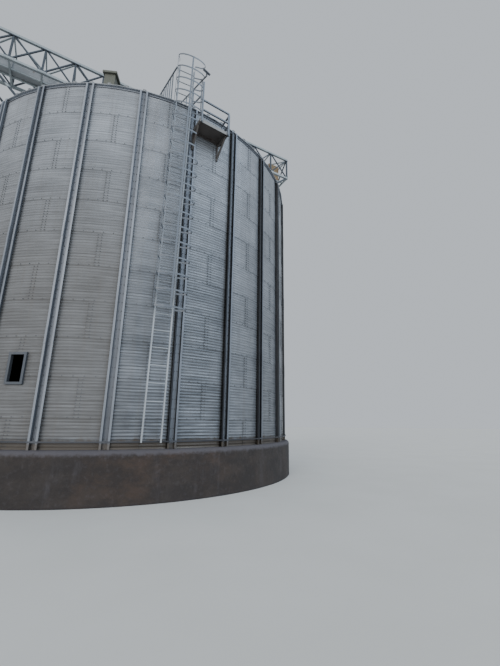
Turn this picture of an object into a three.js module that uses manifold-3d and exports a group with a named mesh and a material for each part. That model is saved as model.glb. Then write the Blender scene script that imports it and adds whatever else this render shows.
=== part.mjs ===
// Corrugated steel grain silo on a concrete plinth, with its roof, caged ladder,
// rest platform and conveyor bridge. Millimetres, +Z up, ground level at z = 0.
// Bearings are degrees about +Z, from -Y (the front) round toward +X.

import * as THREE from 'three';
import { mergeVertices } from 'three/addons/utils/BufferGeometryUtils.js';
import Module from 'manifold-3d';

const wasm = await Module();
wasm.setup();

// Driving dimensions: the wall
const SHEET_LENGTH = 2871;
const SHEET_COUNT = 13;
const BAY_COUNT = 2 * SHEET_COUNT;
const TIER_HEIGHT = 914.4;
const TIER_COUNT = 11;
const BURIED_TIER = 228.4;
const CORRUGATION_DEPTH = 20;
const FACETS_PER_SHEET = 8;

const BAY_ANGLE = 360 / BAY_COUNT;
const SHEET_ANGLE = 2 * BAY_ANGLE;
const WALL_MEAN_RADIUS = (SHEET_COUNT * SHEET_LENGTH) / (2 * Math.PI);
const WALL_OUTER = WALL_MEAN_RADIUS + CORRUGATION_DEPTH / 2;
const WALL_INNER = WALL_MEAN_RADIUS - CORRUGATION_DEPTH / 2;
const FACET_COUNT = SHEET_COUNT * FACETS_PER_SHEET;
const GAP = 0.3;

// Plinth
const PLINTH_HEIGHT = 1130;
const PLINTH_RADIUS = 6180;
const PLINTH_SHOULDER = 105;
const SHOULDER_STEPS = 5;

const EAVE = PLINTH_HEIGHT + TIER_COUNT * TIER_HEIGHT - BURIED_TIER;

// Stiffeners, open channels with lips, outside the wall
const STIFFENER_WEB = 135;
const STIFFENER_DEPTH = 85;
const STIFFENER_LIP = 42;
const STIFFENER_PLATE = 5;
const RING_BAR_SIZE = 34;
const RING_BAR_HEIGHT = 168;
const EAVE_ANGLE_LEG = 60;
const EAVE_ANGLE_PLATE = 6;

// Roof
const ROOF_EDGE = 6012;
const EAVE_SETBACK = 15;
const ROOF_SLOPE = Math.tan(THREE.MathUtils.degToRad(30));
const ROOF_LIP = 20;
const ROOF_FACETS = 52;
const PEAK_RADIUS = 450;
const PEAK_RIM = 20;
const PEAK_UPSTAND = 120;
const ROOF_SEAT = EAVE + EAVE_ANGLE_PLATE + GAP;

// Ladder and cage
const LADDER_BEARING = 22.95;
const LADDER_STANDOFF = 200;
const LADDER_LEAN = 0.89;
const LADDER_WIDTH = 430;
const LADDER_FOOT = PLINTH_HEIGHT + 150;
const LADDER_HEAD = EAVE + 1160;
const STILE_WIDE = 36;
const STILE_DEEP = 50;
const FIRST_RUNG = 912;
const RUNG_PITCH = 426;
const RUNG_RADIUS = 13;
const LADDER_TIES = [150, 2150, 4150, 6150, 8150, 9450];
const TIE_WIDE = 12;
const TIE_TALL = 50;
const CAGE_FOOT = PLINTH_HEIGHT + 3310;
const CAGE_HOOPS = 19;
const CAGE_PITCH = 438.5;
const CAGE_SHIFT = 110;
const CAGE_HALF_WIDTH = 412;
const CAGE_HALF_DEPTH = 150;
const CAGE_MIDDLE = 140;
const CAGE_STRAP = 44;
const CAGE_PLATE = 8;
const CAGE_HEAD = CAGE_FOOT + (CAGE_HOOPS - 1) * CAGE_PITCH + CAGE_STRAP;

// Rest platform
const DECK_BEARING = 32.1;
const DECK_WIDTH = 930;
const DECK_INNER = 5965;
const DECK_NOTCH_WIDE = 125;
const DECK_NOTCH_OUT = 6045;
const DECK_OUTER = 6500;
const DECK_TOP = PLINTH_HEIGHT + 9060;
const DECK_EDGE = 100;
const DECK_PLATE = 6;
const BRACKET_BEARINGS = { left: 28.0, right: 35.8 };
const BRACKET_DROP = 560;
const BRACKET_BAR = 50;
const BRACKET_DEPTH = 40;
const RAIL_TOP = PLINTH_HEIGHT + 9740;
const RAIL_MIDDLE = PLINTH_HEIGHT + 9400;
const TALL_POST_TOP = PLINTH_HEIGHT + 10370;
const TALL_POST_INSET = 30;
const SIDE_RAIL_INSET = 30;
const RAIL_SIZE = 42;
// The cage is open toward the platform between these heights
const GATE_LOW = DECK_TOP - 950;
const GATE_HIGH = DECK_TOP + 380;

// Access hatch
const HATCH_BEARING = -6.55;
const HATCH_CLEAR_WIDTH = 330;
const HATCH_CLEAR_HEIGHT = 640;
const HATCH_SILL = PLINTH_HEIGHT + 1440;
const HATCH_RIM = 48;
const HATCH_PLATE = 8;
const HATCH_STANDS = 40;
const HATCH_TUCK = 20;

// Roof ladder, handrails and vent
const ROOF_LADDER_BEARING = 25;
const ROOF_LADDER_LOW = 5850;
const ROOF_LADDER_HIGH = 620;
const ROOF_LADDER_LIFT = 60;
const ROOF_LADDER_FEET = [5790, 4900, 3850, 2800, 1750];
const ROOF_LADDER_PITCH = 346;
const ROOF_STILE_DEEP = 50;
const ROOF_STILE_WIDE = 20;
const HANDRAIL = 34;
const HANDRAIL_POST = 30;
const HANDRAIL_SLOPE = Math.tan(THREE.MathUtils.degToRad(35));
const HANDRAILS = {
  left: {
    x: -410, start: 6480, height: 970, middle: false,
    posts: [5950, 5550, 5150, 4750, 4350, 3850, 2800, 1750],
  },
  right: { x: 492, start: 6430, height: 1210, middle: true, posts: [5950, 4900, 3850, 2800, 1750] },
};
const HANDRAIL_FINISH = 1300;
const POST_SINK = 40;
const LAMP_RADIUS = 6395;
const LAMP_STEM = 30;
const LAMP_WIDE = 210;
const LAMP_THICK = 58;
const LAMP_LONG = 180;
const LAMP_RISE = 145;
const LAMP_TILT = 0.6;
const LAMP_ROLL = 0.5;
const VENT_BEARING = 3.75;
const VENT_RADIUS = 5640;
const VENT_SIZE = 400;
const VENT_BOX = 300;
const VENT_TALL = 470;
const VENT_LID = 70;

// Conveyor bridge
const BRIDGE_BEARING = 118.2;
const BRIDGE_BAY = 1075;
const BRIDGE_BAYS = 13;
const BRIDGE_END = 7150;
const BRIDGE_OFFSET = 660;
const BRIDGE_LOW = PLINTH_HEIGHT + 14000;
const BRIDGE_HIGH = PLINTH_HEIGHT + 15200;
const CHORD = 100;
const POST = 70;
const BRACE = 50;
const CASING_WIDTH = 360;
const CASING_HEIGHT = 450;
const CASING_END = 6250;
const CASING_LIP = 25;
const CASING_LID = 42;
const TAIL_LENGTH = 640;
const TAIL_TOP = PLINTH_HEIGHT + 15000;
const TAIL_HEAD = 330;
const STRINGER_OFFSET = 185;
const STRINGER = 60;
const TRESTLE_ALONG = 4000;
const TRESTLE_POST = 90;
const TRESTLE_KNEE = 70;
const TRESTLE_TIE = 60;
const TRESTLE_BRACE = 50;
const TRESTLE_SINK = 120;
const KNEE_FOOT = 320;
const TIE_LOW = 420;
const TIE_HIGH = 260;
const SPOUT_OUTER = 140;
const SPOUT_BORE = 132;

const finish = {
  concrete: [0x6f6259, 0.95, 0.0],
  corrugated: [0x9a9da1, 0.45, 0.7],
  stiffener: [0xb4b8bb, 0.4, 0.7],
  roofing: [0x8e9296, 0.5, 0.6],
  galvanised: [0xa9adb1, 0.45, 0.7],
  deck: [0x7b736b, 0.7, 0.4],
  bridge: [0x9aa0a2, 0.5, 0.5],
  casing: [0x8c8f92, 0.55, 0.5],
  rusty: [0xa08348, 0.8, 0.2],
  lamp: [0x3a4048, 0.5, 0.3],
};

const silo = new THREE.Group();

// Adds one named mesh of one closed body
function add(name, shape, key, turn = 0) {
  const [color, roughness, metalness] = finish[key];
  const material = new THREE.MeshStandardMaterial({ color, roughness, metalness });
  const mesh = new THREE.Mesh(shape.isBufferGeometry ? shape : geometryOf(shape), material);
  mesh.name = name;
  mesh.rotation.z = THREE.MathUtils.degToRad(turn);
  silo.add(mesh);
}

// Welds a geometry, drops its empty triangles and turns its faces outward
function welded(geometry) {
  const bare = new THREE.BufferGeometry();
  bare.setAttribute('position', geometry.getAttribute('position').clone());
  if (geometry.index) bare.setIndex(geometry.index.clone());
  const merged = mergeVertices(bare, 1e-3);
  const at = merged.getAttribute('position');
  const index = merged.index.array;
  const corner = (i) => new THREE.Vector3().fromBufferAttribute(at, i);
  const kept = [];
  let volume = 0;
  for (let i = 0; i < index.length; i += 3) {
    const [a, b, c] = [index[i], index[i + 1], index[i + 2]];
    if (a === b || b === c || c === a) continue;
    kept.push(a, b, c);
    volume += corner(a).dot(corner(b).cross(corner(c)));
  }
  if (volume < 0) kept.reverse();
  merged.setIndex(kept);
  return merged;
}

function solidOf(geometry) {
  const clean = welded(geometry);
  return new wasm.Manifold(new wasm.Mesh({
    numProp: 3,
    vertProperties: new Float32Array(clean.getAttribute('position').array),
    triVerts: new Uint32Array(clean.index.array),
  }));
}

function geometryOf(solid) {
  const { vertProperties, triVerts } = solid.getMesh();
  const geometry = new THREE.BufferGeometry();
  geometry.setAttribute('position', new THREE.Float32BufferAttribute(vertProperties, 3));
  geometry.setIndex(Array.from(triVerts));
  return geometry;
}

const joined = (geometries) => geometries.map(solidOf).reduce((whole, next) => whole.add(next));

const radians = (degrees) => THREE.MathUtils.degToRad(degrees);
const polar = (radius, bearing) => new THREE.Vector2(
  radius * Math.sin(radians(bearing)), -radius * Math.cos(radians(bearing)));

// A plan outline raised from z0 to z1
function raised(points, z0, z1) {
  const geometry = new THREE.ExtrudeGeometry(new THREE.Shape(points), {
    depth: z1 - z0, bevelEnabled: false });
  return geometry.translate(0, 0, z0);
}

// Part of a faceted ring, from bearing b0 to b1
function ringPart(inner, outer, b0, b1, steps, z0, z1) {
  const trim = THREE.MathUtils.radToDeg(GAP / 2 / inner);
  const bearings = Array.from({ length: steps + 1 }, (_, i) => {
    const bearing = b0 + ((b1 - b0) * i) / steps;
    return i === 0 ? bearing + trim : i === steps ? bearing - trim : bearing;
  });
  const rim = bearings.map((b) => polar(outer, b));
  const back = bearings.map((b) => polar(inner, b)).reverse();
  return raised([...rim, ...back], z0, z1);
}

// A closed profile of [radius, z] pairs turned about the Z axis
function turned(profile, facets) {
  const points = [...profile, profile[0]].map(([r, z]) => new THREE.Vector2(r, z));
  return new THREE.LatheGeometry(points, facets).rotateX(Math.PI / 2);
}

// A box from x0 to x1, out0 to out1 away from the axis toward -Y, and z0 to z1
function block(x0, x1, out0, out1, z0, z1) {
  return new THREE.BoxGeometry(x1 - x0, out1 - out0, z1 - z0)
    .translate((x0 + x1) / 2, -(out0 + out1) / 2, (z0 + z1) / 2);
}

// A rectangular bar between two points, wide across and deep in its upright plane
function bar(from, to, wide, deep) {
  const along = new THREE.Vector3().subVectors(to, from);
  const length = along.length();
  along.normalize();
  const upright = Math.abs(along.z) > 0.999 ? new THREE.Vector3(0, 1, 0) : new THREE.Vector3(0, 0, 1);
  const across = new THREE.Vector3().crossVectors(upright, along).normalize();
  const turn = new THREE.Matrix4().makeBasis(across, new THREE.Vector3().crossVectors(along, across), along);
  turn.setPosition(new THREE.Vector3().addVectors(from, to).multiplyScalar(0.5));
  return new THREE.BoxGeometry(wide, deep, length).applyMatrix4(turn);
}

// A round bar between two points
function rod(from, to, radius, sides = 8) {
  const along = new THREE.Vector3().subVectors(to, from);
  const turn = new THREE.Quaternion().setFromUnitVectors(
    new THREE.Vector3(0, 1, 0), along.clone().normalize());
  return new THREE.CylinderGeometry(radius, radius, along.length(), sides)
    .applyQuaternion(turn)
    .translate(...new THREE.Vector3().addVectors(from, to).multiplyScalar(0.5).toArray());
}

const local = (x, out, z) => new THREE.Vector3(x, -out, z);
const roofTop = (radius) => ROOF_SEAT + ROOF_LIP + (ROOF_EDGE - radius) * ROOF_SLOPE;

// What stands on the roof or the wall is cut back to these by the working gap
const roofBody = solidOf(turned([
  [0, ROOF_SEAT - 900], [ROOF_EDGE, ROOF_SEAT - 900], [ROOF_EDGE, roofTop(ROOF_EDGE) + GAP],
  [PEAK_RADIUS, roofTop(PEAK_RADIUS) + GAP], [0, roofTop(PEAK_RADIUS) + GAP],
], ROOF_FACETS));
const wallBody = solidOf(turned([
  [0, 0], [WALL_OUTER + GAP, 0], [WALL_OUTER + GAP, EAVE], [0, EAVE],
], FACET_COUNT));
const unturned = (solid, bearing) => solid.rotate([0, 0, -bearing]);

function plinth() {
  const flat = PLINTH_RADIUS - PLINTH_SHOULDER;
  const shoulder = Array.from({ length: SHOULDER_STEPS + 1 }, (_, i) => {
    const turn = (Math.PI / 2) * (i / SHOULDER_STEPS);
    return [flat + PLINTH_SHOULDER * Math.sin(turn),
      PLINTH_HEIGHT - PLINTH_SHOULDER + PLINTH_SHOULDER * Math.cos(turn)];
  });
  add('concrete_plinth', welded(turned([[0, PLINTH_HEIGHT], ...shoulder, [PLINTH_RADIUS, 0], [0, 0]],
    FACET_COUNT)), 'concrete');
}

// Thirteen wall segments, one sheet wide each, from plinth to eave
function wall() {
  const half = HATCH_CLEAR_WIDTH / 2;
  for (let i = 0; i < SHEET_COUNT; i += 1) {
    const b0 = BAY_ANGLE / 2 + i * SHEET_ANGLE;
    let body = solidOf(ringPart(WALL_INNER, WALL_OUTER, b0, b0 + SHEET_ANGLE, FACETS_PER_SHEET,
      PLINTH_HEIGHT + GAP, EAVE - GAP));
    if (i === SHEET_COUNT - 1) {
      const hole = block(-half, half, WALL_INNER - 200, WALL_OUTER + 200,
        HATCH_SILL, HATCH_SILL + HATCH_CLEAR_HEIGHT);
      body = body.subtract(solidOf(hole).rotate([0, 0, HATCH_BEARING]));
    }
    add(`wall_segment_${String(i + 1).padStart(2, '0')}`, body, 'corrugated');
  }
}

function stiffenerSection() {
  const web = STIFFENER_WEB / 2;
  const lip = web + STIFFENER_LIP;
  const back = WALL_OUTER + GAP;
  const front = back + STIFFENER_DEPTH;
  const t = STIFFENER_PLATE;
  const right = [[web, back], [web, front - t], [lip, front - t], [lip, front], [web - t, front],
    [web - t, back + t]];
  const left = right.map(([x, out]) => [-x, out]).reverse();
  return [...right, ...left].map(([x, out]) => new THREE.Vector2(x, -out));
}

// Pairs of stiffeners, each pair carried by its length of eave angle and ring bar
function stiffenerFrames() {
  const section = raised(stiffenerSection(), PLINTH_HEIGHT + GAP, EAVE);
  const lipFace = WALL_OUTER + GAP + STIFFENER_DEPTH;
  const barLow = PLINTH_HEIGHT + RING_BAR_HEIGHT - RING_BAR_SIZE / 2;
  for (let i = 0; i < SHEET_COUNT; i += 1) {
    const b0 = i * SHEET_ANGLE - BAY_ANGLE / 2;
    const b1 = b0 + SHEET_ANGLE;
    const pieces = [
      section.clone().rotateZ(radians(i * SHEET_ANGLE)),
      section.clone().rotateZ(radians(i * SHEET_ANGLE + BAY_ANGLE)),
      ringPart(WALL_INNER, ROOF_EDGE - EAVE_SETBACK, b0, b1, FACETS_PER_SHEET, EAVE - GAP / 2,
        EAVE + EAVE_ANGLE_PLATE),
      ringPart(WALL_OUTER + GAP, WALL_OUTER + GAP + EAVE_ANGLE_PLATE, b0, b1, FACETS_PER_SHEET,
        EAVE - EAVE_ANGLE_LEG, EAVE + EAVE_ANGLE_PLATE / 2),
      ringPart(lipFace - 2, lipFace - 2 + RING_BAR_SIZE, b0, b1, FACETS_PER_SHEET,
        barLow, barLow + RING_BAR_SIZE),
    ];
    add(`stiffener_frame_${String(i + 1).padStart(2, '0')}`, joined(pieces), 'stiffener');
  }
}

function roof() {
  const inner = PEAK_RADIUS - PEAK_RIM;
  const crown = roofTop(PEAK_RADIUS) + PEAK_UPSTAND;
  add('roof_shell', welded(turned([
    [ROOF_EDGE, ROOF_SEAT], [ROOF_EDGE, roofTop(ROOF_EDGE)], [PEAK_RADIUS, roofTop(PEAK_RADIUS)],
    [PEAK_RADIUS, crown], [inner, crown], [inner, ROOF_SEAT + (WALL_INNER - inner) * ROOF_SLOPE],
    [WALL_INNER, ROOF_SEAT],
  ], ROOF_FACETS)), 'roofing');

  const lid = crown + GAP;
  add('peak_cap', welded(turned([
    [SPOUT_BORE, lid], [PEAK_RADIUS + GAP, lid], [PEAK_RADIUS + GAP, lid - 60],
    [PEAK_RADIUS + 8, lid - 60], [PEAK_RADIUS + 8, lid + 10], [SPOUT_BORE, lid + 10],
  ], ROOF_FACETS)), 'galvanised');

  const foot = lid + 10 + GAP;
  add('fill_spout', welded(turned([
    [SPOUT_BORE, foot], [SPOUT_OUTER + 50, foot], [SPOUT_OUTER + 50, foot + 10],
    [SPOUT_OUTER, foot + 10], [SPOUT_OUTER, BRIDGE_LOW + STRINGER], [SPOUT_BORE, BRIDGE_LOW + STRINGER],
  ], 24)), 'galvanised');

  const [lidHalf, boxHalf] = [VENT_SIZE / 2, VENT_BOX / 2];
  const ventTop = roofTop(VENT_RADIUS) + VENT_TALL;
  const vent = joined([
    block(-boxHalf, boxHalf, VENT_RADIUS - boxHalf, VENT_RADIUS + boxHalf,
      roofTop(VENT_RADIUS) - VENT_BOX, ventTop - VENT_LID / 2),
    block(-lidHalf, lidHalf, VENT_RADIUS - lidHalf, VENT_RADIUS + lidHalf, ventTop - VENT_LID, ventTop),
  ]).subtract(unturned(roofBody, VENT_BEARING));
  add('roof_vent', vent, 'galvanised', VENT_BEARING);
}

// Climbs the roof above the wall ladder, with a handrail on each side
function roofLadder() {
  const half = LADDER_WIDTH / 2;
  const onRoof = (x, radius, above) => local(x, radius, roofTop(radius) + above);
  const lift = ROOF_LADDER_LIFT;
  const keepOut = unturned(roofBody, ROOF_LADDER_BEARING);
  const pieces = [-half, half].map((x) => bar(onRoof(x, ROOF_LADDER_LOW, lift),
    onRoof(x, ROOF_LADDER_HIGH, lift), ROOF_STILE_WIDE, ROOF_STILE_DEEP));
  for (let r = ROOF_LADDER_LOW - lift; r > ROOF_LADDER_HIGH; r -= ROOF_LADDER_PITCH) {
    pieces.push(rod(onRoof(-half, r, lift), onRoof(half, r, lift), RUNG_RADIUS));
  }
  for (const radius of ROOF_LADDER_FEET) {
    for (const x of [-half, half]) {
      pieces.push(bar(onRoof(x, radius, -POST_SINK), onRoof(x, radius, lift), ROOF_STILE_WIDE, POST_SINK));
    }
  }
  add('roof_ladder', joined(pieces).subtract(keepOut), 'galvanised', ROOF_LADDER_BEARING);

  const railTop = (side, radius) => roofTop(ROOF_EDGE) + HANDRAILS[side].height
    + (ROOF_EDGE - radius) * HANDRAIL_SLOPE;
  const railMiddle = (side, radius) => (railTop(side, radius) + roofTop(radius)) / 2;
  for (const [side, { x, start, posts, middle }] of Object.entries(HANDRAILS)) {
    const along = (height, first) => bar(local(x, first, height(side, first)),
      local(x, HANDRAIL_FINISH, height(side, HANDRAIL_FINISH)), HANDRAIL, HANDRAIL);
    const rails = [along(railTop, start)];
    if (middle) rails.push(along(railMiddle, posts[0]));
    const uprights = posts.map((radius) => bar(local(x, radius, roofTop(radius) - POST_SINK),
      local(x, radius, railTop(side, radius)), HANDRAIL_POST, HANDRAIL_POST));
    const handrail = joined([...rails, ...uprights]).subtract(keepOut);
    add(`roof_handrail_${side}`, handrail, 'galvanised', ROOF_LADDER_BEARING);
  }

  const { x } = HANDRAILS.right;
  const onRail = (radius) => local(x, radius, railTop('right', radius));
  const seat = railTop('right', LAMP_RADIUS);
  const wide = HANDRAIL + 2 * GAP;
  const railEnd = solidOf(bar(onRail(HANDRAILS.right.start + wide), onRail(LAMP_RADIUS - 2 * LAMP_WIDE),
    wide, wide));
  const lamp = new THREE.BoxGeometry(LAMP_WIDE, LAMP_THICK, LAMP_LONG).rotateX(-LAMP_TILT).rotateY(LAMP_ROLL)
    .translate(x, -LAMP_RADIUS, seat + LAMP_RISE);
  const stem = block(x - LAMP_STEM / 2, x + LAMP_STEM / 2, LAMP_RADIUS - LAMP_STEM / 2,
    LAMP_RADIUS + LAMP_STEM / 2, seat, seat + LAMP_RISE);
  add('floodlight', joined([stem, lamp]).subtract(railEnd), 'lamp', ROOF_LADDER_BEARING);
}

// The ladder and its cage stand a little out of plumb, with their heads to the right
const leaning = (body) => body.translate([0, 0, -LADDER_FOOT]).rotate([0, LADDER_LEAN, 0])
  .translate([0, 0, LADDER_FOOT]);

function ladder() {
  const half = LADDER_WIDTH / 2;
  const out = WALL_OUTER + LADDER_STANDOFF;
  const pieces = [-half, half].map((x) => block(x - STILE_WIDE / 2, x + STILE_WIDE / 2,
    out - STILE_DEEP / 2, out + STILE_DEEP / 2, LADDER_FOOT, LADDER_HEAD));
  for (let z = LADDER_FOOT + FIRST_RUNG; z < LADDER_HEAD; z += RUNG_PITCH) {
    pieces.push(rod(local(-half, out, z), local(half, out, z), RUNG_RADIUS));
  }
  for (const rise of LADDER_TIES) {
    const z = LADDER_FOOT + rise;
    for (const x of [-half, half]) {
      pieces.push(block(x - TIE_WIDE / 2, x + TIE_WIDE / 2, WALL_OUTER - TIE_TALL, out,
        z - TIE_TALL / 2, z + TIE_TALL / 2));
    }
  }
  // A tie that meets the stiffener on the right ends on its lips
  const reach = STIFFENER_WEB / 2 + STIFFENER_LIP + GAP;
  const stiffener = solidOf(block(-reach, reach, WALL_INNER, WALL_OUTER + STIFFENER_DEPTH + 2 * GAP, 0, EAVE))
    .rotate([0, 0, 2 * BAY_ANGLE]);
  const body = leaning(joined(pieces)).subtract(unturned(wallBody, LADDER_BEARING))
    .subtract(unturned(stiffener, LADDER_BEARING));
  add('ladder', body, 'galvanised', LADDER_BEARING);
}

// Safety cage: flat oval hoops on upright straps, in a left, a front and a right panel
function cage() {
  const start = WALL_OUTER + LADDER_STANDOFF;
  const middle = start + CAGE_MIDDLE;
  const root = LADDER_WIDTH / 2 + STILE_WIDE / 2 + GAP;
  const tab = start - STILE_DEEP / 2;
  const trim = 0.05;
  const oval = (turns, inset) => turns.map((turn) => [
    CAGE_SHIFT + (CAGE_HALF_WIDTH - inset) * Math.sin(radians(turn)),
    middle + (CAGE_HALF_DEPTH - inset) * Math.cos(radians(turn)),
  ]);
  const side = (sign, turns) => ({
    rim: [[sign * (root + CAGE_PLATE), tab], [sign * (root + CAGE_PLATE), start + CAGE_PLATE],
      ...oval(turns, 0)],
    back: [[sign * root, tab], [sign * root, start + 1.5 * CAGE_PLATE], ...oval(turns, CAGE_PLATE)],
  });
  const frontTurns = [45 - trim, 22.5, 0, -22.5, -45 + trim];
  const edge = CAGE_STRAP / 2;
  const leftmost = CAGE_SHIFT - CAGE_HALF_WIDTH;
  const panels = {
    left: {
      ...side(-1, [-115, -90, -68, -45 - trim]), gated: false,
      strap: [leftmost, leftmost + CAGE_PLATE, middle - edge, middle + edge],
    },
    front: {
      rim: oval(frontTurns, 0), back: oval(frontTurns, CAGE_PLATE), gated: false,
      strap: [CAGE_SHIFT - edge, CAGE_SHIFT + edge,
        middle + CAGE_HALF_DEPTH - CAGE_PLATE, middle + CAGE_HALF_DEPTH],
    },
    right: {
      ...side(1, [130, 110, 90, 68, 45 + trim]), gated: true,
      strap: [root, root + CAGE_PLATE, tab, start + CAGE_PLATE],
    },
  };
  for (const [name, { rim, back, gated, strap }] of Object.entries(panels)) {
    const outline = [...rim, ...[...back].reverse()].map(([x, out]) => new THREE.Vector2(x, -out));
    const pieces = [block(...strap, CAGE_FOOT, CAGE_HEAD)];
    for (let i = 0; i < CAGE_HOOPS; i += 1) {
      const z = CAGE_FOOT + i * CAGE_PITCH;
      if (!gated || z < GATE_LOW || z > GATE_HIGH) pieces.push(raised(outline, z, z + CAGE_STRAP));
    }
    add(`cage_${name}`, leaning(joined(pieces)), 'galvanised', LADDER_BEARING);
  }
}

function platform() {
  const half = DECK_WIDTH / 2;
  const under = DECK_TOP - DECK_EDGE;
  const t = DECK_PLATE;
  const notch = -half + DECK_NOTCH_WIDE;
  add('platform_deck', joined([
    block(-half, half, DECK_NOTCH_OUT, DECK_OUTER, DECK_TOP - t, DECK_TOP),
    block(notch, half, DECK_INNER, DECK_OUTER, DECK_TOP - t, DECK_TOP),
    block(-half, half, DECK_OUTER - t, DECK_OUTER, under, DECK_TOP),
    block(-half, -half + t, DECK_NOTCH_OUT, DECK_OUTER, under, DECK_TOP),
    block(half - t, half, DECK_INNER, DECK_OUTER, under, DECK_TOP),
    block(notch, half, DECK_INNER, DECK_INNER + t, under, DECK_TOP),
  ]), 'deck', DECK_BEARING);

  for (const [side, bearing] of Object.entries(BRACKET_BEARINGS)) {
    const inStiffener = side === 'left';
    const root = WALL_OUTER + GAP + (inStiffener ? STIFFENER_PLATE + GAP : -60);
    const [h, d] = [BRACKET_BAR / 2, BRACKET_DEPTH];
    const tip = DECK_OUTER - d;
    const top = under - GAP;
    let body = joined([
      block(-h, h, root, tip, top - d, top),
      block(-h, h, root, root + d + (inStiffener ? 0 : 60), top - BRACKET_DROP, top),
      bar(local(0, root + d / 2, top - BRACKET_DROP + d / 2), local(0, tip - 1.5 * d, top - d / 2),
        BRACKET_BAR, d),
    ]);
    if (!inStiffener) body = body.subtract(unturned(wallBody, bearing));
    add(`platform_bracket_${side}`, body, 'deck', bearing);
  }

  const [edge, r] = [DECK_OUTER + GAP, RAIL_SIZE];
  const tall = -half + TALL_POST_INSET;
  add('platform_rail_front', joined([
    block(tall, tall + r, edge, edge + r, under, TALL_POST_TOP),
    block(half - r, half, edge, edge + r, under, RAIL_TOP),
    block(tall, half, edge, edge + r, RAIL_TOP - r, RAIL_TOP),
    block(tall, half, edge, edge + r, RAIL_MIDDLE - r, RAIL_MIDDLE),
  ]), 'galvanised', DECK_BEARING);

  const side = half + GAP;
  const [back, front] = [DECK_INNER + SIDE_RAIL_INSET, DECK_OUTER - 2];
  add('platform_rail_side', joined([
    block(side, side + r, back, back + r, under, RAIL_TOP),
    block(side, side + r, back, front, RAIL_TOP - r, RAIL_TOP),
    block(side, side + r, back, front, RAIL_MIDDLE - r, RAIL_MIDDLE),
    block(side, side + r, front - r, front, under, RAIL_TOP),
  ]), 'galvanised', DECK_BEARING);
}

// Frame of the small access hatch, with a collar through the wall
function hatch() {
  const half = HATCH_CLEAR_WIDTH / 2 - GAP;
  const [low, high] = [HATCH_SILL + GAP, HATCH_SILL + HATCH_CLEAR_HEIGHT - GAP];
  const t = HATCH_PLATE;
  const face = WALL_OUTER + HATCH_STANDS;
  const bore = solidOf(block(-half + t, half - t, WALL_INNER / 2, 2 * WALL_OUTER, low + t, high - t));
  const flange = solidOf(block(-half - HATCH_RIM, half + HATCH_RIM, WALL_OUTER - HATCH_TUCK, face,
    low - HATCH_RIM, high + HATCH_RIM)).subtract(unturned(wallBody, HATCH_BEARING));
  const collar = solidOf(block(-half, half, WALL_INNER - HATCH_TUCK, face, low, high));
  add('hatch_frame', flange.add(collar).subtract(bore), 'galvanised', HATCH_BEARING);
}

// Points along the bridge: along it, across it away from the front, and up
const across = (along, offset, z) => new THREE.Vector3(offset, -along, z);

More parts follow.
